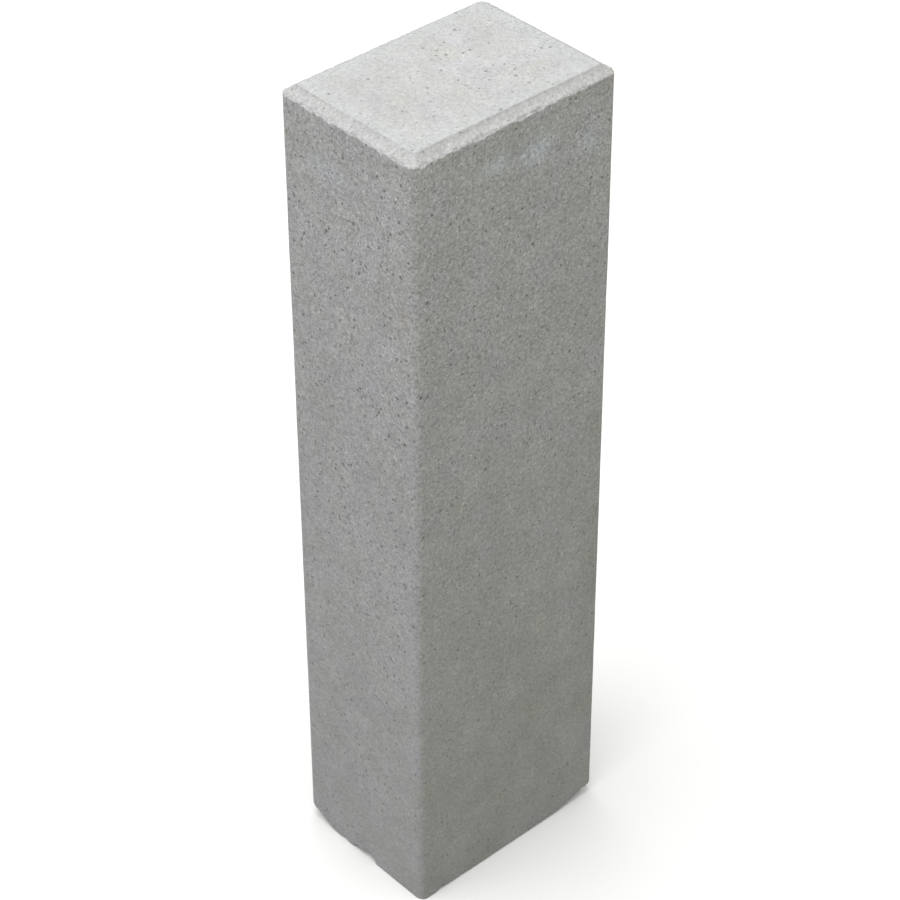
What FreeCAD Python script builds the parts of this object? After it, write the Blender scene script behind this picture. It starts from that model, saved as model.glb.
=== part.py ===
"""Concrete palisade: a rectangular vibro-pressed edging post, cast in one piece.

The post stands on its flat foot. Its four upright arrises are rounded, and the head carries a two-step
bevel all round: a shallow ledge from the outer faces, then a steeper riser up to the flat crown.

The origin is at the middle of the foot. +Z is up, +X runs along the broad faces and +Y through them.
Lengths are in millimetres.
"""

import FreeCAD
import Part
import Sketcher
import math
import os
import sys

NODE = "palisade"
OUT_FOLDER = "parts"

# A built size may differ from its driving dimension by this much, in millimetres.
SIZE_TOLERANCE = 0.01

# Driving dimensions: alias, value in millimetres, what it is.
DIMENSIONS = [
    ("post_width", 165.0, "breadth of the two broad faces"),
    ("post_depth", 120.0, "breadth of the two narrow faces"),
    ("post_height", 600.0, "foot to crown"),
    ("arris_radius", 6.0, "rounding of the four upright edges"),
    ("ledge_width", 4.5, "shallow outer step of the head bevel, measured inwards"),
    ("ledge_rise", 1.7, "height that the ledge gains"),
    ("ledge_radius", 4.0, "corner rounding where ledge meets riser"),
    ("riser_width", 3.0, "steep inner step of the head bevel, measured inwards"),
    ("riser_rise", 3.3, "height that the riser gains"),
    ("crown_radius", 2.5, "corner rounding of the crown"),
]


def make_sheet(doc):
    """The spreadsheet that holds the driving dimensions, one aliased cell each."""
    sheet = doc.addObject("Spreadsheet::Sheet", "Dimensions")
    for row, (alias, value, meaning) in enumerate(DIMENSIONS, start=1):
        sheet.set(f"A{row}", meaning)
        sheet.set(f"B{row}", str(value))
        sheet.setAlias(f"B{row}", alias)
    doc.recompute()
    return sheet


def origin_plane(body, role):
    """The body's own origin plane with that role, such as XY_Plane."""
    return next(f for f in body.Origin.OriginFeatures if f.Role == role)


def cell(expression):
    """An expression in which each driving dimension's alias is written out as a cell of the sheet."""
    for alias, _value, _meaning in DIMENSIONS:
        expression = expression.replace(alias, f"Dimensions.{alias}")
    return expression


def rounded_outline(body, name, inset, radius, level):
    """A horizontal rounded rectangle, centred on the post's axis.

    inset is how far it lies inside the outer faces, radius rounds its corners and level is its height
    above the foot. All three are expressions in the driving dimensions.
    """
    sketch = body.newObject("Sketcher::SketchObject", name)
    sketch.AttachmentSupport = [(origin_plane(body, "XY_Plane"), "")]
    sketch.MapMode = "FlatFace"

    # Rough places only: the constraints below settle them.
    half_x, half_y, corner = 80.0, 60.0, 5.0
    sides = [
        ((-half_x + corner, -half_y), (half_x - corner, -half_y)),
        ((half_x, -half_y + corner), (half_x, half_y - corner)),
        ((half_x - corner, half_y), (-half_x + corner, half_y)),
        ((-half_x, half_y - corner), (-half_x, -half_y + corner)),
    ]
    south, east, north, west = (
        sketch.addGeometry(Part.LineSegment(FreeCAD.Vector(*a, 0), FreeCAD.Vector(*b, 0)), False)
        for a, b in sides
    )
    quarter = math.pi / 2
    corners = [(half_x, -half_y, 3), (half_x, half_y, 0), (-half_x, half_y, 1), (-half_x, -half_y, 2)]
    arcs = []
    for x, y, turns in corners:
        centre = FreeCAD.Vector(x - math.copysign(corner, x), y - math.copysign(corner, y), 0)
        circle = Part.Circle(centre, FreeCAD.Vector(0, 0, 1), corner)
        arc = Part.ArcOfCircle(circle, turns * quarter, (turns + 1) * quarter)
        arcs.append(sketch.addGeometry(arc, False))

    first_end, last_end = 1, 2
    for arc, before, after in zip(arcs, (south, east, north, west), (east, north, west, south)):
        sketch.addConstraint(Sketcher.Constraint("Tangent", before, last_end, arc, first_end))
        sketch.addConstraint(Sketcher.Constraint("Tangent", arc, last_end, after, first_end))
    sketch.addConstraint(Sketcher.Constraint("Horizontal", north))
    sketch.addConstraint(Sketcher.Constraint("Vertical", west))
    for arc in arcs[1:]:
        sketch.addConstraint(Sketcher.Constraint("Equal", arcs[0], arc))

    origin_point, x_axis, y_axis = (-1, 1), -1, -2
    sketch.addConstraint(Sketcher.Constraint("Symmetric", south, first_end, south, last_end, y_axis))
    sketch.addConstraint(Sketcher.Constraint("Symmetric", east, first_end, east, last_end, x_axis))
    named = [
        ("outline_radius", Sketcher.Constraint("Radius", arcs[0], corner), radius),
        (
            "outline_half_x",
            Sketcher.Constraint("DistanceX", *origin_point, east, first_end, half_x),
            f"post_width / 2 - ({inset})",
        ),
        (
            "outline_half_y",
            Sketcher.Constraint("DistanceY", *origin_point, north, first_end, half_y),
            f"post_depth / 2 - ({inset})",
        ),
    ]
    for label, constraint, expression in named:
        index = sketch.addConstraint(constraint)
        sketch.renameConstraint(index, label)
        sketch.setExpression(f"Constraints.{label}", cell(expression))
    sketch.setExpression("AttachmentOffset.Base.z", cell(level))
    return sketch


def make_post(doc):
    """The cast post: a straight shank with the bevelled head lofted on top of it."""
    body = doc.addObject("PartDesign::Body", "Post")
    body.Label = NODE
    shank_top = "post_height - ledge_rise - riser_rise"

    foot = rounded_outline(body, "FootOutline", "0", "arris_radius", "0")
    shank = body.newObject("PartDesign::Pad", "Shank")
    shank.Profile = foot
    shank.setExpression("Length", cell(shank_top))
    doc.recompute()

    rim = rounded_outline(body, "RimOutline", "0", "arris_radius", shank_top)
    step = rounded_outline(body, "StepOutline", "ledge_width", "ledge_radius", "post_height - riser_rise")
    crown = rounded_outline(
        body, "CrownOutline", "ledge_width + riser_width", "crown_radius", "post_height"
    )
    doc.recompute()
    head = body.newObject("PartDesign::AdditiveLoft", "Head")
    head.Profile = rim
    head.Sections = [step, crown]
    head.Ruled = True
    body.Tip = head
    return body


def check(doc, part, sheet):
    """Stops the build where a feature failed, a sketch is loose, or the solid isn't whole or of its size."""
    for item in doc.Objects:
        if {"Invalid", "Error"} & set(item.State):
            sys.exit(f"{item.Label} failed: {item.State}")
        if item.TypeId == "Sketcher::SketchObject" and (item.solve() != 0 or not item.FullyConstrained):
            sys.exit(f"{item.Label} isn't fully constrained")
    shape = part.Shape
    if shape.isNull() or not shape.isValid() or len(shape.Solids) != 1:
        sys.exit(f"{part.Label} isn't one valid solid")
    box = shape.BoundBox
    sizes = {"post_width": box.XLength, "post_depth": box.YLength, "post_height": box.ZLength}
    for name, size in sizes.items():
        if abs(size - sheet.get(name)) > SIZE_TOLERANCE:
            sys.exit(f"{part.Label} measures {size:.2f} where {name} is {sheet.get(name)}")


def main():
    """Builds the post, checks it and writes its solid."""
    doc = FreeCAD.newDocument("ConcretePalisade")
    sheet = make_sheet(doc)
    post = make_post(doc)
    doc.recompute()
    check(doc, post, sheet)
    os.makedirs(OUT_FOLDER, exist_ok=True)
    post.Shape.exportStep(os.path.join(OUT_FOLDER, f"{post.Label}.step"))
    print(f"{post.Label}: {post.Shape.Volume / 1e6:.3f} litres, {len(post.Shape.Faces)} faces")


main()
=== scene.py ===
"""The looks of a cast concrete palisade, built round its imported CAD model. Lengths are in metres."""

import math

import bmesh
import bpy
from mathutils import Matrix, Vector, noise


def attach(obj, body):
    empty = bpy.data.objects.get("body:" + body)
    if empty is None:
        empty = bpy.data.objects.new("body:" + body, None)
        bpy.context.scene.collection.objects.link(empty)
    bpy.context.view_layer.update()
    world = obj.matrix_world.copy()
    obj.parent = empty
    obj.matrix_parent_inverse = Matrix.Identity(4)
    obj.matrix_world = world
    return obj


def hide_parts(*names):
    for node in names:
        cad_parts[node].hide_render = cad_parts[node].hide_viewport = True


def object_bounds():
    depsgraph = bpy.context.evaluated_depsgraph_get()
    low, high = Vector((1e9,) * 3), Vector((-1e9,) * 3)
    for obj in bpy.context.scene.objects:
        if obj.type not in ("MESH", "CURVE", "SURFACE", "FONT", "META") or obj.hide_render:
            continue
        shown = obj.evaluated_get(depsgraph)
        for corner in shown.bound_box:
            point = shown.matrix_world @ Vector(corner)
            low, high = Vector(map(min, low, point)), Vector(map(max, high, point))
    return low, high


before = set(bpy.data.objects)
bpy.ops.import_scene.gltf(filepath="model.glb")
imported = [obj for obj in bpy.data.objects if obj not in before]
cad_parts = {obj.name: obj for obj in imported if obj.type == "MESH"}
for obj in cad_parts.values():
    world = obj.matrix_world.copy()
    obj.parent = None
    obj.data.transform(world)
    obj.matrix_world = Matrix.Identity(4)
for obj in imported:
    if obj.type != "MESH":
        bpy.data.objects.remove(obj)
cad_low, cad_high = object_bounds()

# The post's half breadths, its height and half its height.
half_x, half_y, top = cad_high
half_z = top / 2

MM = 0.001
NODE = "palisade"
SKIN_NAME = "palisade_skin"
SLOT = "grey_concrete"

# The cast section, as in part.py.
ARRIS_RADIUS = 6.0 * MM
BEVEL_WIDTH = 7.5 * MM
BEVEL_DROP = 5.0 * MM
CROWN_RADIUS = 2.5 * MM

# How much of the bevel's drop is even; the rest steepens towards the crown with that power.
BEVEL_EVEN = 0.4
BEVEL_POWER = 2.2

# The mesh grid: its steps on the open faces and near the arrises.
OPEN_STEP = 3.0 * MM
ARRIS_STEP = 1.5 * MM
ARRIS_ZONE = 9.0 * MM
HEAD_BAND = 9.0 * MM
FOOT_BAND = 15.0 * MM
BAND_CUTS = 2

# A point this near to the foot's or the head's plane lies in it.
ON_SKIN = 1e-6

# How high a broken foot edge reshapes the face above it, how deep it reaches under the foot, and how far
# down the head reshapes the faces.
FOOT_REACH = 26.0 * MM
BREAK_DEPTH = 12.0 * MM
RIM_REACH = 20.0 * MM

# Noise layers, each (strength in millimetres, feature size, seed): the surface's waves and unevenness, the
# bevel's uneven lines, and the raggedness of the foot's edge, whose strength is a share.
SURFACE_WAVES = [(0.16, 90 * MM, 11), (0.10, 28 * MM, 13), (0.05, 9 * MM, 17)]
BEVEL_WAVES = [(0.35, 7 * MM, 31), (0.25, 2.5 * MM, 33)]
FOOT_CRUMBS = [(0.9, 4.5 * MM, 3), (0.7, 2.1 * MM, 5)]

# How far the surface lies under its nominal place where its waves are nil, in millimetres.
MEAN_SAG = 0.2

# How ragged the foot's edge is where it is whole, and how much more with each millimetre that it is lifted.
FOOT_RAGGED = 0.3
FOOT_RAGGED_RISE = 0.22

# The head's outer arris has crumbled: each layer is (width in millimetres, feature size, seed, bias), and
# counts where its noise and bias are above 0. Crumbs are all along it, and nicks are rare.
ARRIS_CRUMBS = [(1.9, 3.1 * MM, 23, 0.1), (2.3, 1.6 * MM, 27, 0.0)]
ARRIS_NICKS = [(3.0, 12 * MM, 29, -0.2)]
LEAST_CRUMBLE = 0.4
CRUMBLE_REACH = 5.0 * MM
HIDDEN_SHARE = 0.5

# The right-hand front corner has crumbled more, by this share, from the one distance out to the other.
CORNER_EXTRA = 0.6
CORNER_NEAR = 4.0 * MM
CORNER_FAR = 22.0 * MM

# The foot's broken edges: (distance along the face, height of the break above the ground), in
# millimetres. The narrow front face is measured from the front arris: its middle has crumbled and its far
# corner is off. The broad front face, measured from the same arris, has a nick beside it and has lost its
# far corner. The two hidden faces are nearly whole.
NARROW_BREAK = [(0, 1.0), (4, 0.2), (48, 0.3), (50, 2.2), (52, 6.8), (59, 7.0), (64, 4.6), (67, 3.0)]
NARROW_BREAK += [(70, 4.8), (74, 1.8), (77, 0.9), (82, 3.0), (86, 1.2), (92, 1.6), (98, 2.4)]
NARROW_BREAK += [(103, 4.8), (114, 10.4), (120, 10.5)]
BROAD_BREAK = [(0, 1.0), (5, 0.0), (13, 0.0), (17, 2.6), (26, 1.7), (45, 0.9), (126, 1.6)]
BROAD_BREAK += [(159, 9.0), (165, 9.2)]
HIDDEN_BREAK = [(0, 0.8), (30, 0.2), (44, 1.6), (52, 0.3), (110, 0.4), (120, 1.2)]

# How far a lost corner of the foot reaches along the hidden faces.
CORNER_REACH = 32.0 * MM


def smooth(low, high, value):
    """0 at low, 1 at high, with a smooth rise between."""
    share = min(1.0, max(0.0, (value - low) / (high - low)))
    return share * share * (3 - 2 * share)


def grain(point, size, seed):
    """Perlin noise from about -1 to 1, with features of that size."""
    return noise.noise(Vector(point) / size + Vector((seed, seed * 1.7, seed * 2.3)))


def waves(point, layers):
    """The sum of those noise layers."""
    return sum(strength * grain(point, size, seed) for strength, size, seed in layers)


def chips(point, layers):
    """The sum of those noise layers where each is above 0."""
    return sum(width * max(0.0, grain(point, size, seed) + bias) for width, size, seed, bias in layers)


def ramp(value, points):
    """The height at value on the line through points, each (place, height)."""
    if value <= points[0][0]:
        return points[0][1]
    for (a, low), (b, high) in zip(points, points[1:]):
        if value <= b:
            return low + (high - low) * (value - a) / (b - a)
    return points[-1][1]


def stations(low, high, fine_low, fine_high):
    """Grid positions from low to high, closer together within fine_low and fine_high of the two ends."""
    cuts = [low, low + fine_low, high - fine_high, high]
    found = []
    for start, end, step in zip(cuts, cuts[1:], (ARRIS_STEP, OPEN_STEP, ARRIS_STEP)):
        count = max(1, round((end - start) / step))
        found += [start + (end - start) * i / count for i in range(count)]
    return found + [high]


def box_grid(stops):
    """A bmesh of a box's skin, gridded at those stations along X, Y and Z."""
    bm = bmesh.new()
    last = [len(along) - 1 for along in stops]
    verts = {}

    def vert(index):
        if index not in verts:
            verts[index] = bm.verts.new([along[i] for along, i in zip(stops, index)])
        return verts[index]

    for axis in range(3):
        u, v = (axis + 1) % 3, (axis + 2) % 3
        for side in (0, last[axis]):
            for a in range(last[u]):
                for b in range(last[v]):
                    corners = []
                    for da, db in ((0, 0), (1, 0), (1, 1), (0, 1)):
                        index = [0, 0, 0]
                        index[axis], index[u], index[v] = side, a + da, b + db
                        corners.append(vert(tuple(index)))
                    bm.faces.new(corners if side else corners[::-1])
    return bm


def refine(bm):
    """Cuts the faces near the head's and the foot's edges finer."""
    edges = set()
    for face in bm.faces:
        middle = face.calc_center_median()
        banded = middle.z > top - HEAD_BAND or middle.z < FOOT_BAND
        inset = min(half_x - abs(middle.x), half_y - abs(middle.y))
        if banded and inset < ARRIS_ZONE:
            edges.update(face.edges)
    bmesh.ops.subdivide_edges(bm, edges=list(edges), cuts=BAND_CUTS, use_grid_fill=True)


def core_of(point):
    """The nearest place to a point, in plan, in the section's core, which the arrises are rounded round."""
    core_x = max(ARRIS_RADIUS - half_x, min(half_x - ARRIS_RADIUS, point.x))
    core_y = max(ARRIS_RADIUS - half_y, min(half_y - ARRIS_RADIUS, point.y))
    return core_x, core_y


def rounded(point):
    """A point of the box's skin, moved in plan so that the upright arrises are round."""
    core_x, core_y = core_of(point)
    out = Vector((point.x - core_x, point.y - core_y, 0))
    if out.length > 0:
        out = out.normalized() * max(abs(out.x), abs(out.y))
    return Vector((core_x, core_y, point.z)) + out


def inset_in(point, radius):
    """How far a point lies inside the outline whose corners have that radius, in plan."""
    out_x = max(0.0, abs(point.x) - (half_x - radius))
    out_y = max(0.0, abs(point.y) - (half_y - radius))
    if out_x == 0 and out_y == 0:
        return min(half_x - abs(point.x), half_y - abs(point.y))
    return radius - math.hypot(out_x, out_y)


def bevel_drop(inset):
    """How far the head lies under the crown at that distance inside the outer faces."""
    share = min(1.0, max(0.0, (BEVEL_WIDTH - inset) / BEVEL_WIDTH))
    return BEVEL_DROP * (BEVEL_EVEN * share + (1 - BEVEL_EVEN) * (1 - (1 - share) ** BEVEL_POWER))


def bevel_inset(place):
    """How far a place lies inside the outer faces for the bevel, whose lines run a little uneven."""
    plan = Vector((place.x, place.y, 0))
    return inset_in(place, BEVEL_WIDTH + CROWN_RADIUS) + waves(plan, BEVEL_WAVES) * MM


def foot_lift(point):
    """The height of the foot's edge above the ground at that place of the outline."""
    from_west, from_south = (point.x + half_x) / MM, (point.y + half_y) / MM
    from_east, from_north = (half_x - point.x) / MM, (half_y - point.y) / MM
    if min(from_west, from_east) < min(from_south, from_north):
        lift = ramp(from_south, NARROW_BREAK) if point.x < 0 else ramp(from_north, HIDDEN_BREAK)
    else:
        lift = ramp(from_west, BROAD_BREAK) if point.y < 0 else ramp(from_east, HIDDEN_BREAK)
    to_left = math.hypot(from_west, from_north) * MM
    to_right = math.hypot(from_east, from_south) * MM
    if point.y > 0:
        lift = max(lift, NARROW_BREAK[-1][1] * (1 - to_left / CORNER_REACH))
    if point.x > 0:
        lift = max(lift, BROAD_BREAK[-1][1] * (1 - to_right / CORNER_REACH))
    edge = Vector((point.x, point.y, 0))
    lift += (FOOT_RAGGED + FOOT_RAGGED_RISE * lift) * waves(edge, FOOT_CRUMBS)
    return max(0.0, lift) * MM


def shape(point):
    """Where a point of the box's skin lies on the cast post, before its fine relief."""
    place = rounded(point)
    if point.z > top - ON_SKIN:
        place.z = top - bevel_drop(bevel_inset(place))
    elif point.z > top - RIM_REACH:
        rim = top - bevel_drop(bevel_inset(place))
        place.z = rim - (top - point.z) * (rim - top + RIM_REACH) / RIM_REACH
    elif point.z < ON_SKIN:
        place.z = foot_lift(place) * (1 - smooth(0, BREAK_DEPTH, inset_in(place, ARRIS_RADIUS)))
    elif point.z < FOOT_REACH:
        lift = foot_lift(place)
        place.z = lift + point.z * (FOOT_REACH - lift) / FOOT_REACH
    return place


def sag(place):
    """How far the surface lies under its nominal place: soft waves and sandy unevenness."""
    return max(0.0, MEAN_SAG - waves(place, SURFACE_WAVES)) * MM


def crumble(place):
    """How the head's outer arris has broken off at that place: it is cut to a chamfer of uneven width."""
    under = top - BEVEL_DROP - place.z
    inset = inset_in(place, ARRIS_RADIUS)
    core_x, core_y = core_of(place)
    inward = Vector((core_x - place.x, core_y - place.y, 0)).normalized()
    edge = Vector((place.x, place.y, 0)) - inward * inset
    corner = 1 - smooth(CORNER_NEAR, CORNER_FAR, (place - Vector((half_x, -half_y, top))).length)
    front = place.y < CRUMBLE_REACH - half_y or place.x < CRUMBLE_REACH - half_x
    crumbs = chips(edge, ARRIS_CRUMBS) * (1 + CORNER_EXTRA * corner)
    width = (LEAST_CRUMBLE + crumbs + chips(edge, ARRIS_NICKS)) * (1.0 if front else HIDDEN_SHARE) * MM
    push = max(0.0, min(width, CRUMBLE_REACH) - max(0.0, inset) - max(0.0, under)) / 2
    return (inward + Vector((0, 0, -1))) * push


def build_post():
    """The post's visible skin as one mesh object."""
    grids = [
        stations(-half_x, half_x, ARRIS_ZONE, ARRIS_ZONE),
        stations(-half_y, half_y, ARRIS_ZONE, ARRIS_ZONE),
        stations(0.0, top, FOOT_BAND, HEAD_BAND),
    ]
    bm = box_grid(grids)
    refine(bm)
    for vert in bm.verts:
        vert.co = shape(vert.co)
    bm.normal_update()
    places = [(vert, vert.co.copy(), vert.normal.copy()) for vert in bm.verts]
    for vert, place, normal in places:
        if place.z <= ON_SKIN:
            continue
        vert.co = place - normal * sag(place)
        if place.z > top - RIM_REACH:
            vert.co += crumble(place)
        vert.co.z = max(0.0, vert.co.z)
    bmesh.ops.triangulate(bm, faces=[face for face in bm.faces if len(face.verts) > 4])
    mesh = bpy.data.meshes.new(SKIN_NAME)
    bm.to_mesh(mesh)
    bm.free()
    mesh.shade_smooth()
    skin = bpy.data.objects.new(SKIN_NAME, mesh)
    bpy.context.scene.collection.objects.link(skin)
    return skin


class Nodes:
    """A short way to write a shader's nodes. An input is a value or another node's socket."""

    def __init__(self, owner):
        owner.use_nodes = True
        self.tree = owner.node_tree
        self.tree.nodes.clear()

    def add(self, kind, inputs, **settings):
        """A node with those settings, its inputs set to values or linked to other nodes' sockets."""
        node = self.tree.nodes.new(kind)
        for name, value in settings.items():
            setattr(node, name, value)
        for name, value in inputs.items():
            if isinstance(value, bpy.types.NodeSocket):
                self.tree.links.new(value, node.inputs[name])
            else:
                node.inputs[name].default_value = value
        return node

    def noise(self, vector, size, detail=2.0, roughness=0.5):
        """Noise with features of that size, from 0 to 1."""
        inputs = {"Vector": vector, "Scale": 1 / size, "Detail": detail, "Roughness": roughness}
        return self.add("ShaderNodeTexNoise", inputs).outputs["Fac"]

    def cells(self, vector, size, spread=1.0):
        """Cells of that size: the distance from the nearest one's point, and two random numbers for it."""
        inputs = {"Vector": vector, "Scale": 1 / size, "Randomness": spread}
        found = self.add("ShaderNodeTexVoronoi", inputs)
        numbers = self.add("ShaderNodeSeparateColor", {"Color": found.outputs["Color"]})
        return found.outputs["Distance"], numbers.outputs["Red"], numbers.outputs["Green"]

    def math(self, operation, a, b=0.0):
        """One arithmetic step."""
        return self.add("ShaderNodeMath", {0: a, 1: b}, operation=operation).outputs[0]

    def span(self, value, low, high, to_low=0.0, to_high=1.0):
        """value mapped from low..high to to_low..to_high, held at the ends."""
        inputs = {"Value": value, "From Min": low, "From Max": high, "To Min": to_low, "To Max": to_high}
        return self.add("ShaderNodeMapRange", inputs, clamp=True).outputs["Result"]

    def mix(self, factor, a, b, blend="MIX"):
        """Colour a turned into b, or blended with it, by factor."""
        inputs = {0: factor, 6: a, 7: b}
        return self.add("ShaderNodeMix", inputs, data_type="RGBA", blend_type=blend).outputs[2]

    def spot(self, place, centre, reach):
        """1 round the centre, falling to 0 at the surface of an ellipsoid with those half-axes."""
        inward = self.add("ShaderNodeVectorMath", {0: place, 1: centre}, operation="SUBTRACT")
        scale = tuple(1 / r for r in reach)
        scaled = self.add("ShaderNodeVectorMath", {0: inward.outputs[0], 1: scale}, operation="MULTIPLY")
        far = self.add("ShaderNodeVectorMath", {0: scaled.outputs[0]}, operation="LENGTH")
        return self.span(far.outputs["Value"], 0.2, 1.0, 1.0, 0.0)


# How much more a grey's warmth takes from its blue than it adds to its red.
BLUE_SHARE = 1.6


def grey(level, warmth=0.0):
    """A linear grey, warm where warmth is above 0 and cool where it is under."""
    return (level * (1 + warmth), level, level * (1 - BLUE_SHARE * warmth), 1.0)


# Blotches on the faces: centre and half-axes in millimetres from the foot's middle, and their strength.
LIGHT_BLOOM = [
    ((-17, -60, 570), (19, 6, 10), 0.8),
    ((14, -60, 567), (22, 6, 15), 1.0),
    ((60, -60, 557), (14, 6, 18), 0.6),
    ((-82, 20, 560), (6, 26, 12), 0.35),
]
BEIGE_STAINS = [
    ((-82, -51, 487), (6, 9, 15), 0.8),
    ((82, -60, 592), (16, 10, 12), 1.0),
]
DAMP_BANDS = [
    ((72, -60, 220), (11, 8, 130), 0.55),
    ((0, -60, 590), (90, 6, 8), 0.45),
    ((74, -60, 588), (16, 8, 9), 1.0),
]

# Noise in the cement: feature size, detail and roughness.
CLOUDS = (70 * MM, 3.0, 0.6)
PATCHES = (17 * MM, 4.0, 0.65)
TINTS = (24 * MM, 3.0, 0.6)
MOTTLE = (13 * MM, 2.0, 0.5)
SAND = (2.6 * MM, 2.0, 0.6)

# Noise is mostly between these two levels.
NOISE_LOW = 0.3
NOISE_HIGH = 0.7

# The cement's darkest and lightest clouds, and its two shades, as factors on its tone.
DARK_CLOUD = grey(0.434, 0.003)
PALE_CLOUD = grey(0.478, -0.004)
DARK_PATCH = grey(0.95)
PALE_PATCH = grey(1.05)
OLIVE_TINT = (0.995, 1.006, 0.965, 1)
LILAC_TINT = (1.006, 0.996, 1.025, 1)

# How far under the crown the head's tone starts, and is whole.
HEAD_FROM = 7 * MM
HEAD_TO = 5 * MM

# The head's tones, with the insets from and to which each fades: the crown's pale rim, painted shade on the
# bevel, and a painted shade line in the crease between the two, which fades to both sides of its line.
RIM_COLOUR = (0.488, 0.502, 0.508, 1)
RIM_FROM = 7 * MM
RIM_TO = 32 * MM
# Painted shade: the bevel's slope drawn darker than the crown.
BEVEL_SHADE_COLOUR = grey(0.442, 0.002)
BEVEL_FROM = 6.5 * MM
BEVEL_TO = 7.5 * MM
HEAD_COVER = 0.7
# Painted shade: a dark line drawn along the crease where the crown turns down into the bevel.
CREASE_SHADE_COLOUR = grey(0.30, 0.02)
CREASE_INSET = 7.3 * MM
CREASE_NEAR = 0.2 * MM
CREASE_FAR = 0.9 * MM

# The marks' colours and how strongly each covers the cement.
BLOOM_COLOUR = grey(0.60, -0.05)
BLOOM_COVER = 0.9
STAIN_COLOUR = grey(0.38, 0.10)
STAIN_COVER = 0.45
DAMP_COLOUR = grey(0.34, 0.04)
DAMP_COVER = 0.4

# The sizes of the sand grains.
COARSE_GRAIN = 1.15 * MM
FINE_GRAIN = 0.8 * MM

# The upright faces' tone beside the head's, the painted shade and light on the broad front face at its foot
# and head, and the painted shade that darkens every face at its foot, all as factors.
SIDE_TINT = (1.01, 1.006, 1.035, 1)
# Painted shade and light on the broad front face: darker and warmer at its foot, lighter at its head.
BROAD_FOOT_SHADE = (0.918, 0.928, 0.872, 1)
BROAD_HEAD_LIGHT = (1.074, 1.090, 1.052, 1)
# Painted shade: every upright face drawn darker toward its foot.
FOOT_SHADE = 0.90

# How far from the broad front face's plane its painted shade and light end and are whole.
BROAD_OUT = 2.5 * MM
BROAD_IN = 0.8 * MM

# The pores: (cell size, share of the cells without one before crowding, greatest width as a share of it).
PORE_SIZES = [(4.8 * MM, 0.56, 0.25), (2.2 * MM, 0.66, 0.25)]
# Painted shade: the open pores drawn near black, for the shade inside them.
PORE_SHADE_COLOUR = grey(0.14, 0.06)
PORE_WOBBLE = 1.6 * MM
PORE_PUSH = 1.1 * MM
CROWDING = 0.16
HEAD_CROWD = 0.6

# The relief that is left to the bump: its strength, its depth, and how deep a pore is in it.
BUMP_STRENGTH = 0.30
BUMP_DEPTH = 0.6 * MM
PORE_DEPTH = -0.8
SMOOTHEST = 0.86
ROUGHEST = 0.96
SPECULAR = 0.25


class Skin:
    """What the parts of the concrete's shader share: the place on the post, and where its regions lie."""

    def __init__(self, n):
        self.place = n.add("ShaderNodeTexCoord", {}).outputs["Object"]
        axes = n.add("ShaderNodeSeparateXYZ", {"Vector": self.place}).outputs
        from_x = n.math("SUBTRACT", half_x, n.math("ABSOLUTE", axes["X"]))
        from_y = n.math("SUBTRACT", half_y, n.math("ABSOLUTE", axes["Y"]))
        self.inset = n.math("MINIMUM", from_x, from_y)
        self.head = n.span(axes["Z"], top - HEAD_FROM, top - HEAD_TO)
        self.sides = n.math("SUBTRACT", 1.0, self.head)
        self.high = n.span(axes["Z"], 0.0, top)
        # Where the bevel lies, which gets painted shade and stronger grain.
        self.ledge = n.math("MULTIPLY", self.head, n.span(self.inset, BEVEL_FROM, BEVEL_TO, 1.0, 0.0))
        # Where the broad front face gets its painted shade and light.
        broad = n.span(axes["Y"], BROAD_OUT - half_y, BROAD_IN - half_y)
        self.broad = n.math("MULTIPLY", broad, self.sides)
        self.clouds = n.noise(self.place, *CLOUDS)
        self.patches = n.noise(self.place, *PATCHES)


def blotches(n, place, spots):
    """How strongly any of those spots covers a place."""
    total = 0.0
    for centre, reach, strength in spots:
        metres = [tuple(v * MM for v in part) for part in (centre, reach)]
        total = n.math("ADD", total, n.math("MULTIPLY", n.spot(place, *metres), strength))
    return total


def even(n, level):
    """A grey whose three channels are that value."""
    return n.add("ShaderNodeCombineColor", {"Red": level, "Green": level, "Blue": level}).outputs[0]


def cement(n, skin):
    """The cement's tone: clouds, patches and two shades."""
    clouds = n.span(skin.clouds, NOISE_LOW, NOISE_HIGH)
    patches = n.span(skin.patches, NOISE_LOW, NOISE_HIGH)
    tints = n.span(n.noise(skin.place, *TINTS), 0.35, 0.65)
    tone = n.mix(clouds, DARK_CLOUD, PALE_CLOUD)
    tone = n.mix(1.0, tone, n.mix(patches, DARK_PATCH, PALE_PATCH), "MULTIPLY")
    return n.mix(1.0, tone, n.mix(tints, OLIVE_TINT, LILAC_TINT), "MULTIPLY")


def head_tone(n, skin, tone):
    """The tone with the crown's pale rim, and painted shade on the bevel and in the crease between them."""
    rim = n.math("MULTIPLY", skin.head, n.span(skin.inset, RIM_FROM, RIM_TO, 1.0, 0.0))
    tone = n.mix(n.math("MULTIPLY", rim, HEAD_COVER), tone, RIM_COLOUR)
    # Painted shade on the bevel's slope.
    tone = n.mix(n.math("MULTIPLY", skin.ledge, HEAD_COVER), tone, BEVEL_SHADE_COLOUR)
    # Painted shade along the crease between crown and bevel, broken up by the patches.
    off_line = n.math("ABSOLUTE", n.math("SUBTRACT", skin.inset, CREASE_INSET))
    crease = n.math("MULTIPLY", skin.head, n.span(off_line, CREASE_NEAR, CREASE_FAR, 1.0, 0.0))
    broken = n.span(skin.patches, 0.35, 0.6, 0.05, 0.5)
    return n.mix(n.math("MULTIPLY", crease, broken), tone, CREASE_SHADE_COLOUR)


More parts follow.
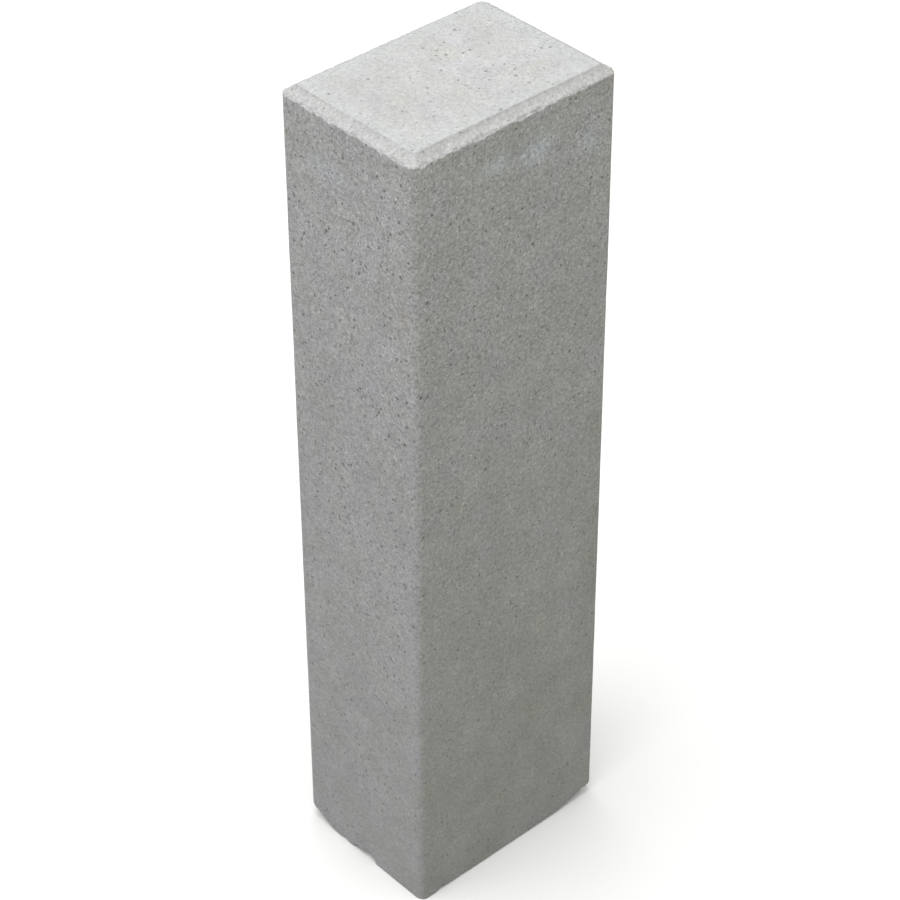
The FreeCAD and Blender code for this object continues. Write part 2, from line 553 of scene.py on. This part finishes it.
def marks(n, skin, tone):
    """The tone with its bloom, stains and damp bands, and how strong the stains and the damp are."""
    bloom = blotches(n, skin.place, LIGHT_BLOOM)
    bloom = n.math("MULTIPLY", bloom, n.span(skin.patches, 0.32, 0.55, 0.2, 1.0))
    tone = n.mix(n.math("MULTIPLY", bloom, BLOOM_COVER), tone, BLOOM_COLOUR)
    stain = blotches(n, skin.place, BEIGE_STAINS)
    stain = n.math("MULTIPLY", stain, n.span(skin.patches, 0.3, 0.6, 0.3, 1.0))
    tone = n.mix(n.math("MULTIPLY", stain, STAIN_COVER), tone, STAIN_COLOUR)
    damp = blotches(n, skin.place, DAMP_BANDS)
    damp = n.math("MULTIPLY", damp, n.span(skin.patches, 0.3, 0.65, 1.0, 0.2))
    damp = n.math("MULTIPLY", damp, skin.sides)
    tone = n.mix(n.math("MULTIPLY", damp, DAMP_COVER), tone, DAMP_COLOUR)
    return tone, n.math("ADD", damp, stain)


def sand_grains_and_shade(n, skin):
    """How much lighter or darker the sand grains, with painted micro-shade, make a place: weaker at the
    foot and on the crown.
    """
    _far, lot, other = n.cells(skin.place, COARSE_GRAIN)
    _far, fine_lot, _other = n.cells(skin.place, FINE_GRAIN)
    sand = n.span(n.noise(skin.place, *SAND), 0.25, 0.75, -0.20, 0.20)
    # Sand grains of random tone, drawn strong enough to be also painted micro-shade of the sandy relief.
    grit_and_shade = n.math("ADD", n.span(lot, 0.0, 1.0, -0.17, 0.17), n.span(fine_lot, 0.0, 1.0, -0.10, 0.10))
    grit_and_shade = n.math("ADD", grit_and_shade, sand)
    dark_grains = n.span(other, 0.95, 0.96, 0.0, -0.22)
    pale_grains = n.span(other, 0.04, 0.05, 0.24, 0.0)
    grit_and_shade = n.math("ADD", grit_and_shade, dark_grains)
    grit_and_shade = n.math("ADD", grit_and_shade, pale_grains)
    on_sides = n.span(skin.high, 0.0, 0.85, 0.46, 1.0)
    keen = n.math("MULTIPLY", on_sides, n.span(skin.head, 0.0, 1.0, 1.0, 0.44))
    keen = n.math("ADD", keen, n.math("MULTIPLY", skin.ledge, 0.14))
    return n.math("MULTIPLY", grit_and_shade, keen)


def face_tone(n, skin, tone):
    """The tone with painted shade toward every face's foot, the upright faces' tint, and painted shade and
    light on the broad front face from foot to head.
    """
    # Painted shade that darkens the upright faces toward the foot; the head keeps its tone.
    foot_shade = n.math("MAXIMUM", n.span(skin.high, 0.0, 1.0, FOOT_SHADE, 1.0), skin.head)
    tone = n.mix(1.0, tone, even(n, foot_shade), "MULTIPLY")
    tone = n.mix(skin.sides, tone, n.mix(1.0, tone, SIDE_TINT, "MULTIPLY"))
    # Painted shade and light on the broad front face: darker and warmer at its foot, lighter at its head.
    broad = n.mix(skin.high, BROAD_FOOT_SHADE, BROAD_HEAD_LIGHT)
    return n.mix(skin.broad, tone, n.mix(1.0, tone, broad, "MULTIPLY"))


def open_pores(n, skin, marked):
    """1 in the small open pores, which crowd in the pale clouds, in the marks and on the head."""
    wobble = n.add("ShaderNodeTexNoise", {"Vector": skin.place, "Scale": 1 / PORE_WOBBLE, "Detail": 1.0})
    inputs = {0: wobble.outputs["Color"], 1: (PORE_PUSH,) * 3}
    push = n.add("ShaderNodeVectorMath", inputs, operation="MULTIPLY").outputs[0]
    ragged = n.add("ShaderNodeVectorMath", {0: skin.place, 1: push}, operation="ADD").outputs[0]
    crowded = n.math("ADD", n.span(skin.clouds, 0.35, 0.65), marked)
    crowded = n.math("ADD", crowded, n.math("MULTIPLY", skin.head, HEAD_CROWD))
    pores = 0.0
    for size, rare, widest in PORE_SIZES:
        far, chance, _other = n.cells(ragged, size)
        chance = n.math("ADD", chance, n.math("MULTIPLY", crowded, CROWDING))
        wide = n.span(chance, rare, 1.12, 0.0, widest)
        inside = n.span(n.math("SUBTRACT", far, wide), -0.03, 0.015, 1.0, 0.0)
        pores = n.math("MAXIMUM", pores, inside)
    return pores


def concrete():
    """Fine sandy pressed concrete: mottled cement, sand grains, open pores and pale bloom, with painted
    shade in the pores, the grain, the bevel, the crease and toward the foot, and painted shade and light on
    the broad front face.
    """
    material = bpy.data.materials.new(SLOT)
    n = Nodes(material)
    skin = Skin(n)
    tone, marked = marks(n, skin, head_tone(n, skin, cement(n, skin)))

    grit_and_shade = sand_grains_and_shade(n, skin)
    mottle = n.span(n.noise(skin.place, *MOTTLE), NOISE_LOW, NOISE_HIGH, 0.965, 1.035)
    # The sand grains with their painted micro-shade, and the random mottle.
    tone = n.mix(1.0, tone, even(n, n.math("ADD", grit_and_shade, mottle)), "MULTIPLY")
    tone = face_tone(n, skin, tone)

    pores = open_pores(n, skin, marked)
    # How strongly the pores' painted shade covers the cement: less on the head and toward the foot.
    on_head = n.span(skin.head, 0.0, 1.0, 0.75, 0.55)
    depth = n.math("MULTIPLY", on_head, n.span(skin.high, 0.0, 0.8, 0.6, 1.0))
    tone = n.mix(n.math("MULTIPLY", pores, depth), tone, PORE_SHADE_COLOUR)

    height = n.math("ADD", grit_and_shade, n.math("MULTIPLY", pores, PORE_DEPTH))
    relief = {"Strength": BUMP_STRENGTH, "Distance": BUMP_DEPTH, "Height": height}
    bump = n.add("ShaderNodeBump", relief)
    rough = n.span(skin.patches, NOISE_LOW, NOISE_HIGH, SMOOTHEST, ROUGHEST)
    inputs = {"Base Color": tone, "Roughness": rough, "Specular IOR Level": SPECULAR}
    shader = n.add("ShaderNodeBsdfPrincipled", {**inputs, "Normal": bump.outputs[0]})
    n.add("ShaderNodeOutputMaterial", {"Surface": shader.outputs[0]})
    return material


# The floor's colour as the camera sees it, and as it lights the object, and half its breadth.
FLOOR_SEEN = (1.0, 1.0, 1.0, 1)
FLOOR_BOUNCE = (0.21, 0.205, 0.175, 1)
FLOOR_HALF = 30.0

# The light from all round, and the backdrop that the camera sees in its place.
WORLD_COLOUR = (1.0, 1.0, 0.975, 1)
WORLD_LEVEL = 0.79
BACKDROP_COLOUR = (1, 1, 1, 1)
BACKDROP_LEVEL = 1.0

# The lamps: name, place, breadth, power in watts and colour.
LAMPS = [
    ("overhead", (-0.45, 0.1, 2.6), 1.8, 33.5, (1, 1, 1)),
    ("left", (-2.2, 0.2, 0.6), 1.4, 6, (0.9, 0.94, 1)),
]


def seen_directly(n):
    """1 where the camera sees a surface itself, in a mirror or through glass."""
    rays = n.add("ShaderNodeLightPath", {}).outputs
    seen = n.math("MAXIMUM", rays["Is Camera Ray"], rays["Is Glossy Ray"])
    return n.math("MAXIMUM", seen, rays["Is Transmission Ray"])


def floor_paint():
    """A pale floor: white to the camera, darker in the light that it throws back on the object."""
    material = bpy.data.materials.new("floor_paint")
    n = Nodes(material)
    shader = n.add("ShaderNodeBsdfDiffuse", {"Color": n.mix(seen_directly(n), FLOOR_BOUNCE, FLOOR_SEEN)})
    n.add("ShaderNodeOutputMaterial", {"Surface": shader.outputs[0]})
    return material


def build_floor():
    """The floor that the post stands on."""
    mesh = bpy.data.meshes.new("floor")
    corners = [(-1, -1), (1, -1), (1, 1), (-1, 1)]
    mesh.from_pydata([(x * FLOOR_HALF, y * FLOOR_HALF, 0) for x, y in corners], [], [(0, 1, 2, 3)])
    mesh.materials.append(floor_paint())
    floor = bpy.data.objects.new("floor", mesh)
    bpy.context.scene.collection.objects.link(floor)


def build_world():
    """Even pale light from all round, with a white backdrop."""
    world = bpy.data.worlds.new("studio")
    bpy.context.scene.world = world
    n = Nodes(world)
    seen = seen_directly(n)
    level = n.span(seen, 0.0, 1.0, WORLD_LEVEL, BACKDROP_LEVEL)
    colour = n.mix(seen, WORLD_COLOUR, BACKDROP_COLOUR)
    back = n.add("ShaderNodeBackground", {"Color": colour, "Strength": level})
    n.add("ShaderNodeOutputWorld", {"Surface": back.outputs[0]})


def lamp(name, place, size, power, colour):
    """A square soft lamp at place that faces the post's middle."""
    data = bpy.data.lights.new(name, "AREA")
    data.size = size
    data.energy = power
    data.color = colour
    light = bpy.data.objects.new(name, data)
    light.location = place
    aim = Vector((0, 0, half_z)) - Vector(place)
    light.rotation_euler = aim.to_track_quat("-Z", "Y").to_euler()
    bpy.context.scene.collection.objects.link(light)


def build_lamps():
    """A broad lamp overhead and a weaker one that lifts the narrow front face."""
    for settings in LAMPS:
        lamp(*settings)


# The camera's bearing, height over the horizon and tilt in degrees, its distance and shifts as shares of
# the post's height, and its lens in millimetres.
CAMERA_AZIMUTH = -42.1
CAMERA_ELEVATION = 37.6
CAMERA_ROLL = -0.23
CAMERA_DISTANCE = 3.197
CAMERA_SIDE = -0.0008
CAMERA_RISE = 0.0234
CAMERA_LENS = 116.9


def build_camera():
    """The camera, looking down on the post's front arris."""
    azimuth, elevation = math.radians(CAMERA_AZIMUTH), math.radians(CAMERA_ELEVATION)
    level = Vector((math.sin(azimuth), -math.cos(azimuth), 0))
    back = level * math.cos(elevation) + Vector((0, 0, math.sin(elevation)))
    right = Vector((math.cos(azimuth), math.sin(azimuth), 0))
    turned = Matrix.Rotation(math.radians(CAMERA_ROLL), 3, back)
    right = turned @ right
    up = back.cross(right)
    data = bpy.data.cameras.new("camera")
    data.lens = CAMERA_LENS
    camera = bpy.data.objects.new("camera", data)
    offset = back * CAMERA_DISTANCE + right * CAMERA_SIDE + up * CAMERA_RISE
    camera.location = Vector((0, 0, half_z)) + offset * top
    camera.rotation_euler = Matrix((right, up, back)).transposed().to_euler()
    bpy.context.scene.collection.objects.link(camera)
    bpy.context.scene.camera = camera


post = build_post()
post.data.materials.append(concrete())
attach(post, "root")
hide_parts(NODE)
build_floor()
build_world()
build_lamps()
build_camera()
bpy.context.scene.view_settings.view_transform = "Standard"
